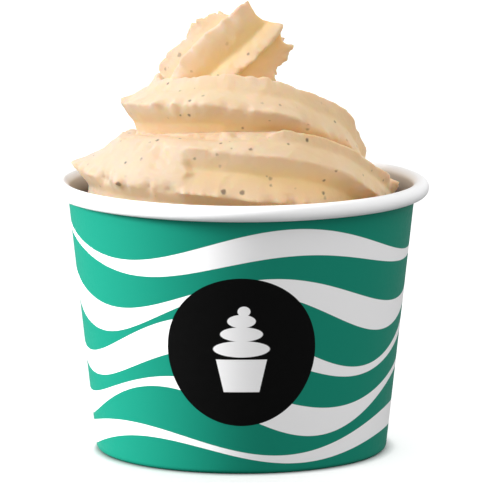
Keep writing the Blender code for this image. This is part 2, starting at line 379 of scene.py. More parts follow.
@functools.lru_cache
def noise_table(seed):
    """Random values from -1 to 1 on a lattice that repeats."""
    return np.random.default_rng(seed).uniform(-1, 1, (NOISE_CELLS, NOISE_CELLS, NOISE_CELLS))


def lattice_noise(points, size, seed):
    """Smooth random values from -1 to 1 at points, in lumps of this size."""
    table = noise_table(seed)
    place = np.atleast_2d(points) / size
    cell = np.floor(place).astype(int)
    share = place - cell
    share = share * share * (3 - 2 * share)
    total = np.zeros(len(place))
    for corner in itertools.product((0, 1), repeat=3):
        nearness = [share[:, k] if c else 1 - share[:, k] for k, c in enumerate(corner)]
        at = (cell + corner) % NOISE_CELLS
        total += np.prod(nearness, axis=0) * table[at[:, 0], at[:, 1], at[:, 2]]
    return total


def smooth_step(value, start, end):
    """0 before start, 1 past end, and a smooth change between them."""
    share = np.clip((value - start) / (end - start), 0.0, 1.0)
    return share * share * (3 - 2 * share)


print("noise repeats after", NOISE_CELLS, "lumps")

# %% [markdown]
# ## Turning the section, with a seam
#
# The sheet's two ends overlap in a glued seam at the back: the outer end lies over the inner one,
# so the wall steps out gently on one side of the seam and drops sharply at the cut edge on the
# other. The rim's roll is never quite level or quite round, and that shows as soft irregular
# highlights, so small waves are added to its height and radius.
#
# The sheet is printed on its outer side only. Because the rim curls outward, the side that shows
# on the roll is the inside of the sheet, so the roll is white. A number for each point says which
# side it is on, and the material reads it.

# %% Turn the board
SEAM_EDGE = 184.0
SEAM_WIDTH = 11.0
SEAM_RISE = 5.0
SEAM_STEP = 0.85  # of the board's thickness
SEAM_ANGLES = (-0.9, -0.4, -0.05, 0.05, 0.4, 0.9)
SEAM_CLEAR = 1.2
TURN_STEP = 1.25
NOISE_RING = 40.0
WALL_SEED = 11
BASE_SEED = 21
OUT_OF_ROUND = (26.0, 0.10, 2)  # size and height of the waves, and how they gather at the rim
OUT_OF_LEVEL = (31.0, 0.12, 8)
SEAM_FADE = 0.45
SEAM_FADE_FROM = 5.0
SEAM_FADE_TO = 2.0


def seam_lift(angles):
    """How much of the board's thickness the wall stands out at angles round the cup."""
    back = np.asarray(angles) % 360
    start = SEAM_EDGE - SEAM_WIDTH
    return smooth_step(back, start - SEAM_RISE, start) * (back < SEAM_EDGE)


def cup_angles():
    """Angles for the turning, closer together at the seam's cut edge."""
    even = np.arange(0, 360, TURN_STEP)
    away = even[np.abs(even - SEAM_EDGE) > SEAM_CLEAR]
    return np.sort(np.concatenate([away, SEAM_EDGE + np.array(SEAM_ANGLES)]))


def mark_points(piece, name, values):
    """A number for each point of the piece, which its material can read."""
    piece.data.attributes.new(name, "FLOAT", "POINT").data.foreach_set("value", values)


def rim_waves(ring, height, kind, seed):
    """Waves round the cup that grow with the height, a share of the cup's."""
    size, depth, growth = kind
    return depth * lattice_noise(ring, size, seed)[:, None] * height**growth


def turn_board(name, section, lifted, shape_seed):
    """The section turned round the axis. lifted says for each of its points how much of the
    seam's step it takes."""
    angles = cup_angles()
    turn = np.radians(angles)
    step = np.outer(seam_lift(angles), lifted) * BOARD * SEAM_STEP
    ring = np.column_stack([np.cos(turn), np.sin(turn), np.zeros(len(turn))]) * NOISE_RING
    height = section[:, 1] / CUP_HEIGHT
    radius = section[:, 0][None, :] + step + rim_waves(ring, height, OUT_OF_ROUND, shape_seed)
    level = rim_waves(ring, height, OUT_OF_LEVEL, shape_seed + 1)
    up = section[:, 1][None, :] + np.minimum(level, 0.0)
    across, deep = radius * np.sin(turn)[:, None], -radius * np.cos(turn)[:, None]
    points = np.stack([across, deep, up], axis=2)
    count = len(section)
    faces = []
    for i in range(len(angles)):
        here, after = i * count, (i + 1) % len(angles) * count
        for j in range(count):
            beside = (j + 1) % count
            faces.append((here + j, here + beside, after + beside, after + j))
    made = mesh_object(name, points.reshape(-1, 3), faces)
    outer_side = (np.arange(count) < count // 2).astype(float)
    mark_points(made, "printed", np.tile(outer_side, len(angles)))
    return made


def outside_of(section):
    """1 for the points of a section on the sheet's outer side, less on the rolled rim."""
    outer = np.zeros(len(section))
    outer[: len(section) // 2] = 1.0
    start, end = CUP_HEIGHT - SEAM_FADE_FROM, CUP_HEIGHT - SEAM_FADE_TO
    return outer * (1 - SEAM_FADE * smooth_step(section[:, 1], start, end))


paper_wall = turn_board("paper_wall", wall_section, outside_of(wall_section), WALL_SEED)
print("paper_wall:", len(paper_wall.data.polygons), "faces")

# %% [markdown]
# ## The base
#
# The base is a separate disc of plain board with a skirt turned down all round, held between the
# wall and its hem. Seen from below it is the recessed middle of the foot. It is made with the same
# two helpers, from a line that starts on the axis.

# %% Base
BASE_HEIGHT = 6.5
SKIRT_FOOT = 1.6
BASE_BEND = 0.8
BEND_POINTS = 9
DISC_POINTS = 23


def base_middle():
    """The middle line of the base's sheet, from the axis to the skirt's lower edge."""
    inset = BOARD * 1.5 + GAP
    skirt = wall_radius(SKIRT_FOOT) - inset
    shoulder = wall_radius(BASE_HEIGHT) - inset
    level = BASE_HEIGHT - BOARD / 2
    bend = arc((shoulder - BASE_BEND, level - BASE_BEND), BASE_BEND, 90.0, 0.0, BEND_POINTS)
    outward = np.linspace(0, bend[0, 0], DISC_POINTS + 1)[:-1]
    disc = np.column_stack([outward, np.full(DISC_POINTS, level)])
    return np.vstack([disc, bend, [[skirt, SKIRT_FOOT]]])


def merged(piece, distance=0.002):
    """The piece with points closer than distance made one, and its faces turned outward."""
    edit = bmesh.new()
    edit.from_mesh(piece.data)
    bmesh.ops.remove_doubles(edit, verts=edit.verts, dist=distance * MM)
    bmesh.ops.recalc_face_normals(edit, faces=edit.faces)
    edit.to_mesh(piece.data)
    edit.free()
    return piece


base_section = thickened(base_middle(), BOARD)
no_seam = np.zeros(len(base_section))
paper_base = merged(turn_board("paper_base", base_section, no_seam, BASE_SEED))
merged(paper_wall)
print("paper_base:", len(paper_base.data.polygons), "faces")

# %% [markdown]
# ## Board: its fibres
#
# Coated board is never a mirror. The fibres under the coating leave a faint cloudy relief, and the
# coating's shine varies a little over it. Both the printed and the plain board need this, so it is
# one group with its own scale. Noise stretched along one direction reads as fibres.

# %% Fibre group
FIBRE_SCALE = 5200.0
FIBRE_SQUEEZE = (1.0, 1.0, 0.12)
FIBRE_SHARE = 0.45
TINT_SCALE = 70.0

fibres, given, result = node_group(
    "board_fibres",
    {"Place": ("Vector", None), "Cloud Size": ("Float", 1.2), "Depth": ("Float", 1.0)},
    {"Height": "Float", "Shine Change": "Float", "Tint": "Float"},
)
cloud_scale = maths(fibres, "DIVIDE", 1 / MM, given["Cloud Size"])
cloud = noise(fibres, given["Place"], cloud_scale, 3.0, 0.6)
squeezed = add(fibres, "VectorMath", {0: given["Place"], 1: FIBRE_SQUEEZE}, operation="MULTIPLY")
fibre = noise(fibres, squeezed.outputs[0], FIBRE_SCALE, 2.0)
relief = maths(fibres, "MULTIPLY_ADD", fibre, FIBRE_SHARE, cloud)
feed(fibres, result["Height"], maths(fibres, "MULTIPLY", relief, given["Depth"]))
feed(fibres, result["Shine Change"], maths(fibres, "SUBTRACT", cloud, 0.5))
wide = noise(fibres, given["Place"], TINT_SCALE, 2.0)
feed(fibres, result["Tint"], maths(fibres, "SUBTRACT", wide, 0.5))
print("group:", fibres.name)

# %% [markdown]
# ## The print: waves that swell and thin
#
# The print is fields of one green ink on white board. A flat colour plan would need an image; the
# print is drawn with sums instead, from each point's angle round the cup and its height. One group
# draws one white stripe: its middle line rises and falls as a wave round the cup, and its width
# swells and thins as another wave. The number of waves is whole, so that a stripe meets itself.

# %% Stripe group
EDGE = 0.05  # half the width of the blur at a printed edge
STRIPE_SHAPE = {
    "Level": ("Float", 0.0),
    "Swing": ("Float", 5.0),
    "Waves": ("Float", 3.0),
    "Start": ("Float", 0.0),
    "Thin": ("Float", 0.8),
    "Thick": ("Float", 3.0),
    "Swells": ("Float", 2.0),
    "Swell Start": ("Float", 0.0),
}
stripe, given, result = node_group(
    "swelling_stripe",
    {"Angle": ("Float", 0.0), "Height": ("Float", 0.0), **STRIPE_SHAPE},
    {"Mask": "Float"},
)
wave_at = maths(stripe, "MULTIPLY_ADD", given["Angle"], given["Waves"], given["Start"])
wave = maths(stripe, "SINE", wave_at)
rise = maths(stripe, "MULTIPLY_ADD", wave, given["Swing"], given["Level"])
swell_at = maths(stripe, "MULTIPLY_ADD", given["Angle"], given["Swells"], given["Swell Start"])
swell = maths(stripe, "MULTIPLY_ADD", maths(stripe, "SINE", swell_at), 0.5, 0.5)
extra = maths(stripe, "SUBTRACT", given["Thick"], given["Thin"])
half = maths(stripe, "MULTIPLY_ADD", swell, extra, given["Thin"])
off = maths(stripe, "ABSOLUTE", maths(stripe, "SUBTRACT", given["Height"], rise))
outside = maths(stripe, "SUBTRACT", off, half)
feed(stripe, result["Mask"], map_range(stripe, outside, EDGE, -EDGE, how="SMOOTHSTEP"))
print("group:", stripe.name)

# %% [markdown]
# ## The print: a round field
#
# The front has a round black field with a simple white sign for ice cream: a small cup with three
# rounded layers and a tip. Each layer is an oval, so a group draws one oval, and it draws the round
# field too.

# %% Oval group
OVAL_SHAPE = {
    "Middle Across": ("Float", 0.0),
    "Middle Up": ("Float", 0.0),
    "Half Width": ("Float", 1.0),
    "Half Height": ("Float", 1.0),
}
oval, given, result = node_group(
    "printed_oval",
    {"Across": ("Float", 0.0), "Up": ("Float", 0.0), **OVAL_SHAPE},
    {"Mask": "Float"},
)
x = maths(oval, "SUBTRACT", given["Across"], given["Middle Across"])
y = maths(oval, "SUBTRACT", given["Up"], given["Middle Up"])
x = maths(oval, "DIVIDE", x, given["Half Width"])
y = maths(oval, "DIVIDE", y, given["Half Height"])
squares = maths(oval, "ADD", maths(oval, "MULTIPLY", x, x), maths(oval, "MULTIPLY", y, y))
reach = maths(oval, "SUBTRACT", maths(oval, "SQRT", squares), 1.0)
outside = maths(oval, "MULTIPLY", reach, given["Half Height"])
feed(oval, result["Mask"], map_range(oval, outside, EDGE, -EDGE, how="SMOOTHSTEP"))
print("group:", oval.name)

# %% [markdown]
# ## Printed board: its white waves
#
# The material starts from each point's own place: its angle round the cup and its height in
# millimetres. The ink is one green all over, and the white waves are where the board is left bare.
# Each row below is one wave, and their masks are joined with Maximum nodes.

# %% White waves
STRIPES = (
    # level, swing, waves, start, thin, thick, swells, swell start
    (46.5, 3.2, 3.0, 0.6, 0.7, 2.9, 2.0, 1.2),
    (36.0, 4.6, 3.0, 1.3, 0.8, 3.4, 3.0, -0.9),
    (25.5, 5.0, 3.0, 2.2, 0.8, 3.6, 2.0, 2.6),
    (15.0, 4.4, 3.0, 3.0, 0.8, 3.3, 3.0, 0.7),
    (5.6, 2.6, 3.0, 3.7, 0.6, 2.6, 2.0, -1.4),
)


def any_mask(tree, masks):
    """One mask that is 1 wherever one of the masks is."""
    return functools.reduce(lambda first, second: maths(tree, "MAXIMUM", first, second), masks)


printed_board, tree, shader = finish("printed_board")
place = add(tree, "TexCoord").outputs["Object"]
parts = add(tree, "SeparateXYZ", {"Vector": place}).outputs
angle = maths(tree, "ARCTAN2", parts["X"], maths(tree, "MULTIPLY", parts["Y"], -1.0))
height = maths(tree, "MULTIPLY", parts["Z"], 1 / MM)
drawn = []
for row in STRIPES:
    sockets = {"Angle": angle, "Height": height, **dict(zip(STRIPE_SHAPE, row))}
    drawn.append(use_group(tree, stripe, sockets).outputs["Mask"])
white = any_mask(tree, drawn)
print("white waves:", len(drawn))

# %% [markdown]
# ## Printed board: the round field and its sign
#
# Across and up are distances on the wall from the middle of the round field. Four ovals and a
# small tapered cup make the sign. The small cup is three limits multiplied: between its two sides,
# under its top and over its foot.

# %% Round field and sign
FIELD_HEIGHT = 26.4
FIELD_RADIUS = 15.9
SIGN_LAYERS = (
    # middle across, middle up, half width, half height
    (0.0, 0.7, 5.9, 1.75),
    (0.0, 3.9, 4.4, 1.55),
    (0.0, 6.7, 2.9, 1.4),
    (0.5, 8.8, 1.3, 1.1),
)
SIGN_CUP_TOP = -1.5
SIGN_CUP_FOOT = -8.6
SIGN_CUP_HALF = 5.7  # half its width, carried up to the middle of the field
SIGN_CUP_TAPER = 0.22

across = maths(tree, "MULTIPLY", angle, wall_radius(FIELD_HEIGHT))
up = maths(tree, "SUBTRACT", height, FIELD_HEIGHT)


def drawn_oval(shape):
    """The mask of an oval on the wall: its middle across and up, half width and half height."""
    sockets = {"Across": across, "Up": up, **dict(zip(OVAL_SHAPE, shape))}
    return use_group(tree, oval, sockets).outputs["Mask"]


field = drawn_oval((0.0, 0.0, FIELD_RADIUS, FIELD_RADIUS))
layers = [drawn_oval(layer) for layer in SIGN_LAYERS]
side = maths(tree, "MULTIPLY_ADD", up, SIGN_CUP_TAPER, SIGN_CUP_HALF)
past_side = maths(tree, "SUBTRACT", maths(tree, "ABSOLUTE", across), side)
between_sides = map_range(tree, past_side, EDGE, -EDGE)
under_top = map_range(tree, up, SIGN_CUP_TOP, SIGN_CUP_TOP - 2 * EDGE)
over_foot = map_range(tree, up, SIGN_CUP_FOOT, SIGN_CUP_FOOT + 2 * EDGE)
sign_cup = maths(tree, "MULTIPLY", maths(tree, "MULTIPLY", between_sides, under_top), over_foot)
sign = maths(tree, "MULTIPLY", any_mask(tree, layers + [sign_cup]), field)
print("shapes in the sign:", len(layers) + 1)

# %% [markdown]
# ## Printed board: its ink
#
# The ink is thin, so the board's clouds show through it as small changes of tone. Green goes on
# first, then the white waves, the black field and its sign. Along the fold at the foot the print
# is rubbed off in specks: a fine noise says where, and more of them show nearer to the table.

# %% Ink and wear
GREEN_INK = ((0.006, 0.215, 0.145, 1.0), (0.009, 0.25, 0.172, 1.0))
BLACK_INK = (0.002, 0.002, 0.002, 1.0)
WHITE_BOARD = (0.94, 0.935, 0.94, 1.0)
WORN_BELOW = 0.7
WORN_MOST = 0.40

board = use_group(tree, fibres, {"Place": place, "Cloud Size": 0.9, "Depth": 1.0}).outputs
ink_tone = maths(tree, "MULTIPLY_ADD", board["Tint"], 0.10, 0.5)
inked = blend_colour(tree, white, blend_colour(tree, ink_tone, *GREEN_INK), WHITE_BOARD)
inked = blend_colour(tree, field, inked, BLACK_INK)
inked = blend_colour(tree, sign, inked, WHITE_BOARD)
near_fold = map_range(tree, height, WORN_BELOW, 0.0, high=WORN_MOST)
worn = maths(tree, "GREATER_THAN", near_fold, noise(tree, place, 900.0, 4.0, 0.7))
inked = blend_colour(tree, worn, inked, WHITE_BOARD)
print("the print is worn below", WORN_BELOW, "mm")

# %% [markdown]
# ## Printed board: its bare side and its coating
#
# The sheet's other side is bare white. On the inner wall, under the roll, it is much darker:
# painted shade for the deep gap beside the swirl, where little light reaches. The coating shines
# softly, and its shine and relief come from the fibre group.

# %% Bare side and coating
BARE_BOARD = ((0.91, 0.91, 0.92, 1.0), (0.95, 0.95, 0.95, 1.0))
PAINTED_SHADE_BOARD = (0.20, 0.175, 0.165, 1.0)
PAINTED_SHADE_INSET = (0.05, 0.65)  # from the wall's outer face, where the dark starts and is full
PAINTED_SHADE_BELOW_RIM = (0.5, 1.7)


def coat(tree, shader, board, change, roughness, strength, distance):
    """Gives a board its soft uneven shine and its faint relief."""
    shine = maths(tree, "MULTIPLY_ADD", board["Shine Change"], change, roughness)
    feed(tree, shader.inputs["Roughness"], shine)
    sockets = {"Height": board["Height"], "Strength": strength, "Distance": distance}
    feed(tree, shader.inputs["Normal"], add(tree, "Bump", sockets).outputs["Normal"])


bare_tone = maths(tree, "MULTIPLY_ADD", board["Tint"], 0.5, 0.5)
bare = blend_colour(tree, bare_tone, *BARE_BOARD)
# Painted shade: the inner wall turns dark grey under the roll, where the gap is in shadow.
inside_wall = map_range(tree, from_axis(tree, place), *[WALL_TOP_RADIUS - d for d in PAINTED_SHADE_INSET])
below_roll = map_range(tree, height, *[CUP_HEIGHT - d for d in PAINTED_SHADE_BELOW_RIM])
painted_shade = maths(tree, "MULTIPLY", inside_wall, below_roll)
bare = blend_colour(tree, painted_shade, bare, PAINTED_SHADE_BOARD)
printed = add(tree, "Attribute", attribute_name="printed").outputs["Fac"]
outer = maths(tree, "GREATER_THAN", printed, 0.5)
feed(tree, shader.inputs["Base Color"], blend_colour(tree, outer, bare, inked))
coat(tree, shader, board, change=0.25, roughness=0.40, strength=0.18, distance=0.00003)
shader.inputs["Specular IOR Level"].default_value = 0.09
paper_wall.data.materials.append(printed_board)
print("printed_board:", len(tree.nodes), "nodes")

# %% [markdown]
# ## Plain board
#
# The base is the same coated board without ink: a little warmer, a little rougher, with the same
# fibres at a coarser scale.

# %% Plain board
PLAIN_BOARD = ((0.80, 0.79, 0.765, 1.0), (0.87, 0.865, 0.85, 1.0))

plain_board, tree, shader = finish("plain_board")
place = add(tree, "TexCoord").outputs["Object"]
board = use_group(tree, fibres, {"Place": place, "Cloud Size": 1.5, "Depth": 1.0}).outputs
tone = maths(tree, "MULTIPLY_ADD", board["Tint"], 0.8, 0.5)
feed(tree, shader.inputs["Base Color"], blend_colour(tree, tone, *PLAIN_BOARD))
coat(tree, shader, board, change=0.3, roughness=0.55, strength=0.3, distance=0.00004)
paper_base.data.materials.append(plain_board)
print("plain_board:", len(tree.nodes), "nodes")

# %% [markdown]
# ## Put the cup on the frame
#
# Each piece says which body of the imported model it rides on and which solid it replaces. Its faces
# are shaded smooth, and only edges sharper than a limit stay crisp: the seam's cut edge and the
# ends of the sheet.

# %% Put the cup on the frame
SHARP_FROM = 40.0

for piece, cad_node, finish_slot in (
    (paper_wall, "cup_wall", "printed_board"),
    (paper_base, "cup_base", "plain_board"),
):
    piece.data.shade_smooth()
    piece.data.set_sharp_from_angle(angle=math.radians(SHARP_FROM))
    lit["cup"].objects.link(piece)
    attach(piece, "root")
    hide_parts(cad_node)
    print(piece.name, "replaces", cad_node)

# %% [markdown]
# ## The gelato's rope
#
# Soft gelato comes out of a star-shaped nozzle as a ridged rope. It is laid round the cup about
# twice, climbing on itself, and the nozzle is then pulled up and away, which leaves the slanted
# peak. A sculptor would drag the ridges by hand. A rope that follows a route is closer to how the
# real thing is made: a star section is carried along a smooth route, and its ridges roll and wear
# down on the way. The route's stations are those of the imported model, so that the shapes agree.

# %% The rope's star section
COIL_RIDGES = (
    # angle round the rope, depth of the groove above it, where the groove is deepest
    (-12, 0.23, 0.58),
    (33, 0.22, 0.70),
    (66, 0.20, 0.72),
    (94, 0.22, 0.74),
    (121, 0.24, 0.74),
    (150, 0.26, 0.74),
    (189, 0.22, 0.74),
    (214, 0.24, 0.74),
    (243, 0.27, 0.70),
    (276, 0.30, 0.80),
    (311, 0.24, 0.60),
)
PEAK_RIDGES = (
    (-15, 0.28, 0.35),
    (28, 0.26, 0.35),
    (66, 0.27, 0.35),
    (102, 0.20, 0.55),
    (136, 0.30, 0.66),
    (200, 0.26, 0.22),
    (243, 0.26, 0.35),
    (283, 0.26, 0.35),
    (318, 0.28, 0.35),
)
POINTS_PER_RIDGE = 22
GROOVE_ROUND = 1.25


def star_section(ridges):
    """Arrays with one entry for each point round the rope: its ridge, its angle in radians, its
    share of the way to the next ridge, and its groove's depth as a share of the rope's radius."""
    rows = []
    for ridge, (start, depth, lowest) in enumerate(ridges):
        width = (ridges[(ridge + 1) % len(ridges)][0] - start) % 360
        for point in range(POINTS_PER_RIDGE):
            share = point / POINTS_PER_RIDGE
            tooth = min(share / lowest, (1 - share) / (1 - lowest))
            bite = depth * (1 - (1 - tooth) ** GROOVE_ROUND)
            rows.append((ridge, math.radians(start + share * width), share, bite))
    ridge, angle, share, bite = np.array(rows).T
    return ridge.astype(int), angle, share, bite


def smooth_curve(keys, values, at):
    """A smooth curve through the stations, as cubic pieces with unequal steps."""
    keys = np.asarray(keys, float)
    values = np.asarray(values, float)
    step = np.diff(keys)[:, None]
    slope = np.diff(values, axis=0) / step
    tangent = np.vstack([slope[:1], slope])
    tangent[1:-1] = (slope[1:] * step[:-1] + slope[:-1] * step[1:]) / (step[:-1] + step[1:])
    k = np.clip(np.searchsorted(keys, at, side="right") - 1, 0, len(keys) - 2)
    h = step[k]
    s = ((at - keys[k]) / h[:, 0])[:, None]
    return (
        (2 * s**3 - 3 * s**2 + 1) * values[k]
        + (s**3 - 2 * s**2 + s) * h * tangent[k]
        + (3 * s**2 - 2 * s**3) * values[k + 1]
        + (s**3 - s**2) * h * tangent[k + 1]
    )


print("points round the rope:", len(star_section(COIL_RIDGES)[0]))

# %% [markdown]
# ## Ragged crests
#
# Each ridge's crest tears a little as it leaves the nozzle. Long waves make the whole ridge thicker
# and thinner, and marks do the same where the photograph shows it. The very edge stands up as a
# thin lip with scallops, finer frills and torn notches, which catch the light. What changes the
# edge falls off steeply with the distance from it, because the grooves between stay smooth.
#
# The grooves are not equally deep along the rope either: where coils press on each other they
# close up. At the front one of them stops short, and a small wobble keeps that step from running
# straight across the rope.

# %% Marks on the ridges and in the grooves
RIDGE_MARKS = (
    # ridge, angle round the cup, half width, change in height
    (0, -88, 30, 3.6),
    (1, -42, 24, -1.5),
    (1, -90, 25, -1.0),
    (10, -400, 110, -4.2),
    (10, -50, 70, 2.5),
    (3, 62, 50, -3.5),
    (2, -30, 68, -2.6),
    (0, -350, 55, 0.6),
)
GROOVE_SHARES = {
    # groove: (angle round the cup, share of its depth there), along the rope
    0: (
        (180, 1.0), (8, 1.0), (-20.6, 0.70), (-22.2, 0.2),
        (-120, 0.3), (-250, 0.6), (-320, 0.5), (-650, 0.5),
    ),
    1: ((180, 1.0), (90, 0.6), (40, 0.42), (-60, 0.40), (-150, 0.8), (-650, 0.9)),
    10: ((180, 1.0), (60, 0.7), (-60, 0.5), (-150, 0.7), (-280, 0.85), (-650, 0.85)),
}
STEP_WAVES = ((9.0, 0.6, 1.3), (23.0, 0.0, 0.65))  # pace across the groove, start, degrees


def groove_depth(bite, ridge, share, angle):
    """The grooves' depths round one section, after what the coil's turn does to them."""
    if not math.isfinite(angle):
        return bite
    wobble = sum(depth * np.sin(share * pace + first) for pace, first, depth in STEP_WAVES)
    for groove, shares in GROOVE_SHARES.items():
        turned, kept = np.array(shares).T
        here = np.interp(-(angle + wobble), -turned, kept)
        bite = np.where(ridge == groove, bite * here, bite)
    return bite


print("marks on the ridges:", len(RIDGE_MARKS))

# %% Crests
WAVES = ((23.0, 0.28), (11.0, 0.16))
WAVE_SEED = 7
WAVE_FADE = 3
CREST_LIP = 1.05
EDGE_WORN = 0.7
EDGE_FADE = 8
SCALLOPS = ((5.0, 0.45), (2.4, 0.40))
FRILLS = ((2.2, 1.3), (1.1, 0.8))
FRILL_SHARPNESS = 3
RAGGED = {0: 1.4, 1: 0.5, 2: 0.8}
TEAR_SIZE = 2.6
TEAR_FROM = 0.35
TEAR_DEPTH = 1.9
# How far the ridges, and the two ropes, lie apart in the noise of each effect.
SCALLOP_LANES = (37.0, 11.0)
FRILL_LANES = (19.0, 5.0)
TEAR_LANES = (23.0, 7.0)


def ridge_waves():
    """For each ridge, its long waves: (wavelength, height, phase)."""
    draw = random.Random(WAVE_SEED)
    return [
        [(length, height, draw.uniform(0, 2 * math.pi)) for length, height in WAVES]
        for _ in COIL_RIDGES
    ]


def ridge_height(ridge, along, angle, waves):
    """How far one ridge stands above its usual height, by its long waves and its marks."""
    height = 0.0
    for length, depth, phase in waves[ridge]:
        height += depth * math.sin(2 * math.pi * along / length + phase)
    for marked, centre, half_width, depth in RIDGE_MARKS:
        off = abs(angle - centre) / half_width
        if marked == ridge and off < 1:
            height += depth * (0.5 + 0.5 * math.cos(math.pi * off))
    return height


def edge_noise(ridge, along, rope_seed, lanes, size, shift=0):
    """Noise at one place on a ridge's edge, in lumps of this size."""
    spot = (along, ridge * lanes[0], rope_seed * lanes[1])
    return lattice_noise([spot], size, rope_seed + shift)[0]


def edge_height(ridge, along, seed):
    """How far the very edge of one ridge stands up, by its lip, scallops, frills and tears."""
    height = 0.0
    for size, depth in SCALLOPS:
        height += depth * edge_noise(ridge, along, seed, SCALLOP_LANES, size)
    for size, depth in FRILLS:
        frill = 1 - abs(edge_noise(ridge, along, seed, FRILL_LANES, size))
        height -= depth * frill**FRILL_SHARPNESS
    tear = edge_noise(ridge, along, seed, TEAR_LANES, TEAR_SIZE, shift=1) - TEAR_FROM
    height -= TEAR_DEPTH * max(0.0, tear)
    ragged = RAGGED.get(ridge, 1.0)
    return CREST_LIP - EDGE_WORN * (1 - ragged) + height * ragged


def rope_radii(section, radius, along, angle, waves, seed):
    """The rope's radius at each point of one section, and its grooves' depths."""
    ridge, _, share, bite = section
    count = ridge[-1] + 1
    after = (ridge + 1) % count
    whole = np.array([ridge_height(n, along, angle, waves) for n in range(count)])
    edge = np.array([edge_height(n, along, seed) for n in range(count)])
    bite = groove_depth(bite, ridge, share, angle)
    rise = whole[ridge] * (1 - share) ** WAVE_FADE + edge[ridge] * (1 - share) ** EDGE_FADE
    rise_after = whole[after] * share**WAVE_FADE + edge[after] * share**EDGE_FADE
    return radius * (1 - bite) + rise + rise_after, bite


print("ridges on the coil:", len(COIL_RIDGES), "and on the peak:", len(PEAK_RIDGES))

# %% [markdown]
# ## The coil
#
# The coil's sections stand in upright planes through the cup's axis. The rope is soft, so its
# shape depends on what is round it: the peak's weight flattens the turn below it, the shoulder
# where that turn climbs is worn, and the belly draws in where the rope hangs over the turn below.

# %% Coil
COIL = (
    # angle round the cup, distance from the axis, height over the rim, radius, roll
    (180, 21.5, -19.0, 11.4, -44),
    (150, 22.0, -14.5, 11.5, -44),
    (120, 22.0, -10.5, 11.8, -44),
    (85, 21.5, -5.5, 12.2, -44),
    (60, 20.5, 0.8, 12.2, -40),
    (47, 20.1, 2.5, 12.2, -29),
    (30, 20.1, 3.5, 12.2, -16),
    (0, 20.6, 3.1, 12.3, 0),
    (-45, 21.0, 1.5, 12.3, 15),
    (-90, 21.0, -1.5, 12.3, 30),
    (-180, 20.0, -3.0, 12.3, 25),
    (-240, 18.0, -4.5, 12.3, 8),
    (-260, 16.5, -2.5, 12.3, 2),
    (-277, 15.6, 1.5, 12.3, 0),
    (-288, 15.0, 5.5, 12.3, 4),
    (-304, 14.2, 9.8, 12.3, 11),
    (-318, 13.8, 11.0, 12.3, 19),
    (-330, 13.9, 12.0, 12.3, 27),
    (-360, 14.7, 12.4, 12.3, 41),
    (-450, 14.7, 10.2, 12.3, 43),
    (-500, 12.2, 10.4, 12.0, 44),
    (-550, 9.6, 9.6, 11.2, 42),
    (-600, 7.6, 7.0, 9.6, 38),
    (-650, 6.5, 2.5, 7.5, 35),
)
RING_SPACING = 0.36
AXIS_CLEARANCE = 0.4
PRESSED_FROM, PRESSED_RUN, PRESSED = -300, 20, 0.22
PRESSED_SIDES = ((72, 105), (230, 270))
SHOULDER_AT, SHOULDER_HALF, SHOULDER_WORN = -297, 34, 0.20
CROWN_SIDES = ((45, 80), (120, 160))
OVERHANG_FROM, OVERHANG_RUN, OVERHANG = -335, 15, 0.24
BELLY_SIDES = ((250, 300), (318, 346))
ROUTE_STEPS = 2000
COIL_SEED = 3
UP = (0.0, 0.0, 1.0)


def between(angle, rise, fall):
    """0, then 1 between rise and fall, then 0 again, with smooth changes over both."""
    return smooth_step(angle, *rise) * (1 - smooth_step(angle, *fall))


def past(angle, start, run):
    """0 before a place along the coil and 1 after it. The coil winds towards lower angles."""
    return smooth_step(-angle, -start - run, -start + run)


def coil_places():
    """Places evenly spaced along the coil: distance along the rope, angle and route values."""
    stations = np.array(COIL, float)
    keys = -stations[:, 0]
    fine = np.linspace(keys[0], keys[-1], ROUTE_STEPS)
    route = smooth_curve(keys, stations[:, 1:], fine)
    across = np.gradient(np.radians(fine)) * route[:, 0]
    length = np.concatenate([[0.0], np.cumsum(np.hypot(across, np.gradient(route[:, 1])))[1:]])
    marks = np.linspace(0.0, length[-1], int(length[-1] / RING_SPACING) + 1)
    at = np.interp(marks, length, fine)
    return marks, -at, smooth_curve(keys, stations[:, 1:], at)


def weighed_down(radii, angle, facing, own_angle):
    """A section's radii after its neighbours' weight. Facing is where each point faces in the
    cup, and own_angle is its place round the rope itself, both in degrees."""
    flat = PRESSED * past(angle, PRESSED_FROM, PRESSED_RUN)
    radii = radii * (1 - flat * between(facing, *PRESSED_SIDES))
    near = max(0.0, 1 - abs(angle - SHOULDER_AT) / SHOULDER_HALF)
    worn = SHOULDER_WORN * smooth_step(near, 0, 1)
    radii = radii * (1 - worn * between(facing, *CROWN_SIDES))
    hollow = OVERHANG * past(angle, OVERHANG_FROM, OVERHANG_RUN)
    return radii * (1 - hollow * between(own_angle, *BELLY_SIDES))


def coil_rings():
    """Sections of the coil, each in the upright plane through the cup's axis, and the grooves'
    depths at all their points."""
    section = star_section(COIL_RIDGES)
    own_angle = np.degrees(section[1]) % 360
    waves = ridge_waves()
    rings, bites = [], []
    for mark, angle, (distance, height, radius, roll) in zip(*coil_places()):
        turn = math.radians(angle)
        outward = np.array((math.sin(turn), -math.cos(turn), 0.0))
        phi = section[1] + math.radians(roll)
        radii, bite = rope_radii(section, radius, mark, angle, waves, COIL_SEED)
        radii = weighed_down(radii, angle, np.degrees(phi) % 360, own_angle)
        out = np.maximum(distance + radii * np.cos(phi), AXIS_CLEARANCE)
        up = CUP_HEIGHT + height + radii * np.sin(phi)
        rings.append(np.outer(out, outward) + np.outer(up, UP))
        bites.append(bite)
    return np.array(rings), np.concatenate(bites)


coil, coil_bites = coil_rings()
print("coil:", coil.shape[0], "sections of", coil.shape[1], "points")

# %% [markdown]
# ## The peak
#
# The peak's sections are square to its own leaning route. Its last ones run on into fins or stop
# short, because the rope breaks unevenly when the nozzle lifts. The broken end is closed with
# smaller and smaller copies of the last section, pushed in and out by noise so that it looks torn.

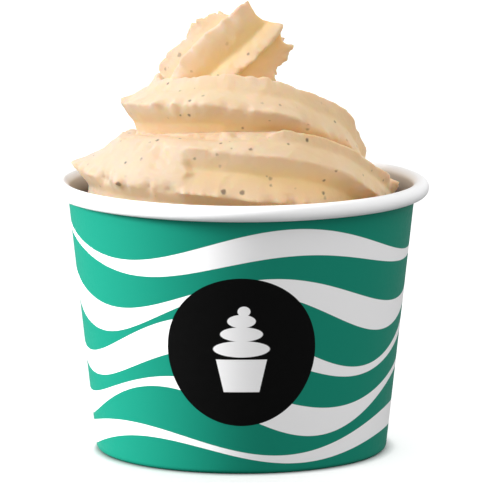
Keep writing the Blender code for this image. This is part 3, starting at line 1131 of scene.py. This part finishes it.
# %% Peak
PEAK = (
    # across, deep, height over the rim, radius, roll
    (-8.5, 3.0, 0.0, 10.0, 0),
    (-10.5, 2.0, 10.0, 10.8, 0),
    (-6.8, 1.0, 20.0, 10.7, 0),
    (-1.0, 0.0, 27.5, 10.3, 0),
    (4.2, 0.0, 33.0, 9.7, 0),
)
PEAK_FINS = (0.0, -1.0, -5.0, -3.6, 2.4, 4.0, 2.0, 0.0, 1.0)
FIN_NOTCH = 1.8
FIN_REACH = 9.0
FIN_TUCK = 0.08
TUCK_GATHERS = 4  # how steeply the tuck grows towards the end
PEAK_HOLLOW = 0.9
BREAK_DEPTH = 1.3
BREAK_SIZE = 3.4
BREAK_SEED = 61
FINE_BREAK = 2.3  # how many times smaller the finer noise of the break is
CLOSING_SHARES = np.linspace(0.06, 0.94, 16)
PEAK_SEED = 5


def fin_lengths(section):
    """How far each point of the peak's section runs on past the peak's end."""
    ridge, _, share, _ = section
    fins = np.array(PEAK_FINS)
    lengths = fins[ridge] * (1 - share) + fins[(ridge + 1) % len(fins)] * share
    return lengths - FIN_NOTCH * np.sin(np.pi * share)


def closing_rings(last, middle, along):
    """Sections that close the peak's broken end, torn by noise along the rope."""
    rings = []
    for share in CLOSING_SHARES:
        drawn_in = last * (1 - share) + middle * share
        torn = BREAK_DEPTH * lattice_noise(drawn_in, BREAK_SIZE, BREAK_SEED) - PEAK_HOLLOW
        fine = lattice_noise(drawn_in, BREAK_SIZE / FINE_BREAK, BREAK_SEED + 1)
        torn += 0.5 * BREAK_DEPTH * fine
        rings.append(drawn_in + np.outer(torn * math.sin(math.pi * share), along))
    return rings


def peak_rings():
    """Sections of the peak, square to its route, with those that close its end."""
    section = star_section(PEAK_RIDGES)
    waves = ridge_waves()
    fins = fin_lengths(section)
    stations = np.array(PEAK, float)
    hops = np.linalg.norm(np.diff(stations[:, :3], axis=0), axis=1)
    keys = np.concatenate([[0.0], np.cumsum(hops)])
    marks = np.linspace(0.0, keys[-1], int(keys[-1] / RING_SPACING) + 1)
    route = smooth_curve(keys, stations, marks)
    centres = route[:, :3] + (0.0, 0.0, CUP_HEIGHT)
    along = np.gradient(centres, axis=0)
    along /= np.linalg.norm(along, axis=1)[:, None]
    rings = []
    for i, centre in enumerate(centres):
        outward = np.cross(UP, along[i])
        outward /= np.linalg.norm(outward)
        upward = np.cross(along[i], outward)
        phi = section[1] + math.radians(route[i, 4])
        near_end = max(0.0, 1 - (marks[-1] - marks[i]) / FIN_REACH)
        radii, _ = rope_radii(section, route[i, 3], marks[i], math.inf, waves, PEAK_SEED)
        radii = radii * (1 - FIN_TUCK * near_end**TUCK_GATHERS)
        rings.append(
            centre
            + np.outer(radii * np.cos(phi), outward)
            + np.outer(radii * np.sin(phi), upward)
            + np.outer(fins * near_end, along[i])
        )
    rings += closing_rings(rings[-1], centres[-1], along[-1])
    return np.array(rings), section[3]


peak, peak_bite = peak_rings()
print("peak:", peak.shape[0], "sections of", peak.shape[1], "points")

# %% [markdown]
# ## Pieces of rope
#
# A rope that touches itself can't be joined to itself in one go. It is cut into a few pieces that
# are closed and overlap each other. Each piece ends in a point that lies inside the next, so that
# no two faces lie on each other.

# %% Pieces of the gelato
COIL_PIECES = 3
TIP_SECTIONS = 4  # how many sections past its last one a piece's point lies

pieces = bpy.data.collections.new("gelato_pieces")
bpy.context.scene.collection.children.link(pieces)


def rope_piece(name, rings, start, end):
    """A closed piece of rope from one section to another, with pointed ends."""
    around = rings.shape[1]
    count = end - start + 1
    points = rings[start : end + 1].reshape(-1, 3)
    before = rings[max(start - TIP_SECTIONS, 0)].mean(axis=0)
    after = rings[min(end + TIP_SECTIONS, len(rings) - 1)].mean(axis=0)
    points = np.vstack([points, before, after])
    i, j = np.meshgrid(np.arange(count - 1), np.arange(around), indexing="ij")
    a = i * around + j
    b = i * around + (j + 1) % around
    faces = np.stack([a, b, b + around, a + around], axis=2).reshape(-1, 4).tolist()
    first = count * around
    edge = (count - 1) * around
    for j in range(around):
        k = (j + 1) % around
        faces.append((first, k, j))
        faces.append((first + 1, edge + j, edge + k))
    return mesh_object(name, points, faces, pieces)


piece_size = math.ceil((len(coil) - 1) / COIL_PIECES)
for n, start in enumerate(range(0, len(coil) - 1, piece_size)):
    rope_piece(f"coil_{n}", coil, start, min(start + piece_size, len(coil) - 1))
rope_piece("peak", peak, 0, len(peak) - 1)

# %% [markdown]
# ## The filling under the swirl
#
# Under the swirl the gelato fills the cup. It was smoothed against the board with a spatula, so
# its top is a little uneven and creeps up the wall in places. It lies a few millimetres under the
# rim, where the wall's shade can be seen behind it.

# %% Filling and core
FILL_BELOW_RIM = 6.4
FILL_DOME = 2.4
FILL_CLEARANCE = 0.06  # between the filling and the board
FILL_LIP = ((0.5, 0.12), (0.2, 0.35), (0.0, 0.6))  # in from the edge, up from the level
FILL_CORNER = 0.6
FILL_STEPS = 300
FILL_RINGS = 46
FILL_UNEVEN = 0.45
FILL_SEED = 31
EVEN_BELOW = 40.0
CORE = ((0.0, 15.0), (4.0, 15.0), (19.0, -12.0), (0.0, -12.0))  # radius, height over the rim
CORE_STEPS = 48


def ring_lumps(x, y, seed):
    """Wide and finer lumps at places on the floor plan."""
    spots = np.stack([x, y, np.zeros_like(x)], axis=2).reshape(-1, 3)
    lumps = lattice_noise(spots, 9.0, seed) + 0.5 * lattice_noise(spots, 4.0, seed + 1)
    return lumps.reshape(x.shape)


def lathed(name, outline, steps, uneven=0.0, seed=0):
    """A closed solid turned round the axis from an outline that starts and ends on it. uneven is
    how far its upper points rise and fall."""
    outline = np.asarray(outline, float)
    inner = outline[1:-1]
    turn = np.linspace(0, 2 * np.pi, steps, endpoint=False)
    radius = inner[:, 0][None, :]
    x = radius * np.sin(turn)[:, None]
    y = -radius * np.cos(turn)[:, None]
    z = np.broadcast_to(inner[:, 1], x.shape).copy()
    if uneven:
        z += np.where(z > EVEN_BELOW, uneven * ring_lumps(x, y, seed), 0.0)
    count = len(inner)
    points = np.stack([x, y, z], axis=2).reshape(-1, 3)
    top, foot = len(points), len(points) + 1
    points = np.vstack([points, [0, 0, outline[0, 1]], [0, 0, outline[-1, 1]]])
    faces = []
    for i in range(steps):
        here, after = i * count, (i + 1) % steps * count
        faces.append((top, here, after))
        faces.append((foot, after + count - 1, here + count - 1))
        for j in range(count - 1):
            faces.append((here + j, here + j + 1, after + j + 1, after + j))
    return mesh_object(name, points, faces, pieces)


def inner_wall(height):
    """Inside radius of the wall at a height above the floor."""
    return wall_radius(height) - BOARD


def fill_outline():
    """The filling's outline: a domed top, a lip against the wall, the side and the foot."""
    level = CUP_HEIGHT - FILL_BELOW_RIM
    foot = BASE_HEIGHT + GAP
    edge = inner_wall(level) - FILL_CLEARANCE
    flat = np.linspace(0.0, edge - 1.0, FILL_RINGS)
    top = [(r, level + FILL_DOME * (1 - (r / edge) ** 2)) for r in flat]
    lip = [(edge - inward, level + up) for inward, up in FILL_LIP]
    heights = (level - 1.0, 36.0, 20.0, foot + 0.5)
    side = [(inner_wall(height) - FILL_CLEARANCE, height) for height in heights]
    return top + lip + side + [(inner_wall(foot) - FILL_CORNER, foot), (0.0, foot)]


filling = lathed("filling", fill_outline(), FILL_STEPS, FILL_UNEVEN, FILL_SEED)
lathed("core", [(radius, CUP_HEIGHT + height) for radius, height in CORE], CORE_STEPS)
print("filling lies", FILL_BELOW_RIM, "mm under the rim")

# %% [markdown]
# ## One body of gelato
#
# The rope touches itself and the filling, and where it does, two surfaces meet in a crease. A
# Boolean union gives just that. Remeshing would join the pieces too, but it would round off the
# thin edges of the ridges.

# %% Join them
ROPE_WELD = 0.0005

for piece in pieces.objects:
    merged(piece, ROPE_WELD)
gelato_body = filling
pieces.objects.unlink(gelato_body)
collection.objects.link(gelato_body)
gelato_body.name = "gelato_swirl"
join = gelato_body.modifiers.new("join", "BOOLEAN")
join.operation = "UNION"
join.operand_type = "COLLECTION"
join.collection = pieces
join.solver = "MANIFOLD"
bpy.context.view_layer.update()
graph = bpy.context.evaluated_depsgraph_get()
joined = bpy.data.meshes.new_from_object(gelato_body.evaluated_get(graph))
gelato_body.modifiers.clear()
gelato_body.data = joined
for piece in list(pieces.objects):
    bpy.data.objects.remove(piece)
bpy.data.collections.remove(pieces)
print("joined:", len(joined.vertices), "points,", len(joined.polygons), "faces")

# %% [markdown]
# ## Close the hollows and soften the surface
#
# Small hollows are left shut in between the coils. They can't be seen, so only the surface that
# connects to the foot is kept. Then each point moves towards the middle of its neighbours, because
# gelato is soft, and a fine unevenness and two shallow dents are added. The part that stands
# against the board is left alone, so that it can't push through it.

# %% Outer surface only
WELD = 0.02


def keep_outer_surface(mesh):
    """Deletes the hollows that the union left inside."""
    edit = bmesh.new()
    edit.from_mesh(mesh)
    bmesh.ops.triangulate(edit, faces=edit.faces)
    bmesh.ops.dissolve_degenerate(edit, dist=WELD * MM, edges=edit.edges)
    lowest = min(edit.verts, key=lambda vert: vert.co.z)
    outer = {lowest}
    front = [lowest]
    while front:
        vert = front.pop()
        near = {edge.other_vert(vert) for edge in vert.link_edges} - outer
        outer |= near
        front.extend(near)
    bmesh.ops.delete(edit, geom=[v for v in edit.verts if v not in outer], context="VERTS")
    edit.to_mesh(mesh)
    edit.free()


keep_outer_surface(joined)
print("outer surface:", len(joined.vertices), "points")

# %% Soften
SOFTEN_ROUNDS = 1
SOFT_BELOW_RIM = (9.0, 7.0)
LUMPS = ((7.0, 0.20), (2.8, 0.13), (1.3, 0.09), (0.8, 0.05))
LUMP_SEED = 41
DENTS = (
    # across, height, radius, depth: shallow dents at the front
    (-16.6, 66.8, 2.4, 0.75),
    (-18.0, 64.6, 1.6, 0.35),
)
FRONT_HALF = -5.0


def points_of(mesh):
    """The mesh's points in millimetres."""
    points = np.empty(len(mesh.vertices) * 3)
    mesh.vertices.foreach_get("co", points)
    return points.reshape(-1, 3) / MM


def normals_of(mesh):
    """The direction that the surface faces at each point."""
    normals = np.empty(len(mesh.vertices) * 3)
    mesh.vertices.foreach_get("normal", normals)
    return normals.reshape(-1, 3)


def put_points(mesh, points):
    """Moves the mesh's points to places in millimetres."""
    mesh.vertices.foreach_set("co", (points * MM).ravel())
    mesh.update()


def softened(points, mesh, rounds, share=0.5):
    """The points, each moved part of the way to the middle of its neighbours, in turns."""
    ends = np.empty(len(mesh.edges) * 2, int)
    mesh.edges.foreach_get("vertices", ends)
    a, b = ends.reshape(-1, 2).T
    count = np.bincount(a, minlength=len(points)) + np.bincount(b, minlength=len(points))
    for _ in range(rounds):
        total = np.zeros_like(points)
        for k in range(3):
            total[:, k] += np.bincount(a, points[b, k], len(points))
            total[:, k] += np.bincount(b, points[a, k], len(points))
        points = points * (1 - share) + share * total / count[:, None]
    return points


points = points_of(joined)
free = smooth_step(points[:, 2], *[CUP_HEIGHT - depth for depth in SOFT_BELOW_RIM])
eased = softened(points, joined, SOFTEN_ROUNDS)
points += (eased - points) * free[:, None]
put_points(joined, points)
normals = normals_of(joined)
lump = sum(
    depth * lattice_noise(points, size, LUMP_SEED + n) for n, (size, depth) in enumerate(LUMPS)
)
for across, height, radius, depth in DENTS:
    reach = np.hypot(points[:, 0] - across, points[:, 2] - height) / radius
    lump -= depth * np.clip(1 - reach**2, 0, 1) ** 2 * (points[:, 1] < FRONT_HALF)
points += normals * (lump * free)[:, None]
put_points(joined, points)
print("surface:", len(joined.vertices), "points,", len(joined.polygons), "faces")

# %% [markdown]
# ## How deep in a groove each point is
#
# Light that goes into the gelato comes out again warmer, most of all in the grooves, where it also
# bounces between the ridges. That warm light is painted into the grooves' colour. To paint it, each
# point of the joined surface looks up the nearest point of the rope that it came from, and takes
# over how deep in its groove that point is. The shader reads that number.

# %% Depth in the grooves
FULL_DEPTH = 0.24
ROPE_WITHIN = 1.5
PLAIN_DEPTH = 0.5  # for the filling, which comes from no rope


def groove_depths(points):
    """For each point, the groove's depth at the nearest point of the rope, from 0 to 1."""
    rope = np.vstack([coil.reshape(-1, 3), peak.reshape(-1, 3)])
    bite = np.concatenate([coil_bites, np.tile(peak_bite, len(peak))])
    tree = kdtree.KDTree(len(rope))
    for i, spot in enumerate(rope):
        tree.insert(spot, i)
    tree.balance()
    near = np.array([tree.find(spot)[1:] for spot in points])
    depth = bite[near[:, 0].astype(int)] / FULL_DEPTH
    return np.where(near[:, 1] < ROPE_WITHIN, np.clip(depth, 0, 1), PLAIN_DEPTH)


mark_points(gelato_body, "groove", groove_depths(points))
print("points with a groove's depth:", len(points))

# %% [markdown]
# ## Gelato: its flecks
#
# Fine dark flecks of the flavouring are spread through it, most of them under a millimetre wide.
# A Voronoi texture gives scattered spots at random places; only a share of its cells is kept, and
# each has its own size and strength. A little noise bends the spots out of round.

# %% Fleck group
FLECK_BEND = (0.0004, 0.0004, 0.0004)
FLECK_BLUR = (-0.15, 0.20)

flecks, given, result = node_group(
    "flavour_flecks",
    {
        "Place": ("Vector", None),
        "Spacing": ("Float", 4.0),
        "Share": ("Float", 0.4),
        "Smallest": ("Float", 0.08),
        "Largest": ("Float", 0.3),
    },
    {"Mask": "Float"},
)
scale = maths(flecks, "DIVIDE", 1 / MM, given["Spacing"])
wobble = add(flecks, "TexNoise", {"Vector": given["Place"], "Scale": 1500.0, "Detail": 1.0})
sockets = {0: wobble.outputs["Color"], 1: FLECK_BEND, 2: given["Place"]}
bent = add(flecks, "VectorMath", sockets, operation="MULTIPLY_ADD")
cells = add(flecks, "TexVoronoi", {"Vector": bent.outputs[0], "Scale": scale})
chance = add(flecks, "SeparateColor", {"Color": cells.outputs["Color"]}).outputs
distance = maths(flecks, "MULTIPLY", cells.outputs["Distance"], given["Spacing"])
spread = maths(flecks, "SUBTRACT", given["Largest"], given["Smallest"])
size = maths(flecks, "MULTIPLY_ADD", chance["Green"], spread, given["Smallest"])
spot = map_range(flecks, maths(flecks, "SUBTRACT", size, distance), *FLECK_BLUR)
kept = maths(flecks, "LESS_THAN", chance["Red"], given["Share"])
strength = maths(flecks, "MULTIPLY_ADD", chance["Blue"], 0.6, 0.4)
mask = maths(flecks, "MULTIPLY", maths(flecks, "MULTIPLY", spot, kept), strength)
feed(flecks, result["Mask"], mask)
print("group:", flecks.name)

# %% [markdown]
# ## Gelato: its colours
#
# Gelato is a pale cream, a little mottled. Its grooves are painted a lighter, warmer gold: painted
# warm light, for the light that spreads inside the gelato and bounces in the hollows. Small and
# large flecks are laid over it.

# %% Gelato's colours
CREAM = ((0.865, 0.63, 0.385, 1.0), (0.885, 0.67, 0.44, 1.0))
PAINTED_GLOW_GOLD = (0.97, 0.67, 0.31, 1.0)
PAINTED_GLOW_SHARE = 0.8
PAINTED_GLOW_GATHERS = 1.4
FLECK = (0.10, 0.065, 0.04, 1.0)
FLECK_SHARE = 0.85
PATCH_RANGE = (0.3, 0.7)
SMALL_FLECKS = {"Spacing": 2.7, "Share": 0.5, "Smallest": 0.16, "Largest": 0.40}
LARGE_FLECKS = {"Spacing": 4.4, "Share": 0.5, "Smallest": 0.32, "Largest": 0.62}

gelato_finish, tree, shader = finish("gelato")
place = add(tree, "TexCoord").outputs["Object"]
patches = noise(tree, place, 120.0, 3.0)
cream = blend_colour(tree, map_range(tree, patches, *PATCH_RANGE), *CREAM)
# Painted warm light: the deeper a point lies in its groove, the more gold it is.
groove = add(tree, "Attribute", attribute_name="groove").outputs["Fac"]
painted_glow = maths(tree, "MULTIPLY", maths(tree, "POWER", groove, PAINTED_GLOW_GATHERS), PAINTED_GLOW_SHARE)
colour = blend_colour(tree, painted_glow, cream, PAINTED_GLOW_GOLD)
small = use_group(tree, flecks, {"Place": place, **SMALL_FLECKS}).outputs["Mask"]
large = use_group(tree, flecks, {"Place": place, **LARGE_FLECKS}).outputs["Mask"]
dots = maths(tree, "MULTIPLY", any_mask(tree, [small, large]), FLECK_SHARE)
feed(tree, shader.inputs["Base Color"], blend_colour(tree, dots, colour, FLECK))
print("gelato:", len(tree.nodes), "nodes for its colours")

# %% [markdown]
# ## Gelato: how it takes the light
#
# Gelato is cloudy: light goes a little way in, spreads and comes back, so shadows on it are soft
# and warm. That is the shader's subsurface part. It is a little moist, so its roughness varies in
# patches, and its surface has a fine grain of ice.

# %% Gelato's light
MOIST_ROUGHNESS = (0.42, 0.60)

rough = map_range(tree, patches, *PATCH_RANGE, *MOIST_ROUGHNESS)
feed(tree, shader.inputs["Roughness"], rough)
grain = noise(tree, place, 1600.0, 3.0, 0.6)
bump = add(tree, "Bump", {"Height": grain, "Strength": 0.5, "Distance": 0.00016})
feed(tree, shader.inputs["Normal"], bump.outputs["Normal"])
shader.subsurface_method = "RANDOM_WALK"
shader.inputs["Subsurface Weight"].default_value = 1.0
shader.inputs["Subsurface Radius"].default_value = (1.0, 0.5, 0.24)
shader.inputs["Subsurface Scale"].default_value = 0.0010
shader.inputs["IOR"].default_value = 1.36
gelato_body.data.materials.clear()
gelato_body.data.materials.append(gelato_finish)
gelato_body.data.shade_smooth()
lit["gelato"].objects.link(gelato_body)
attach(gelato_body, "root")
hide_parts("gelato")
print("gelato:", len(tree.nodes), "nodes in all")

# %% [markdown]
# ## Finish
#
# The last line brings the scene up to date and hands it over.

# %% Finish
bpy.context.view_layer.update()
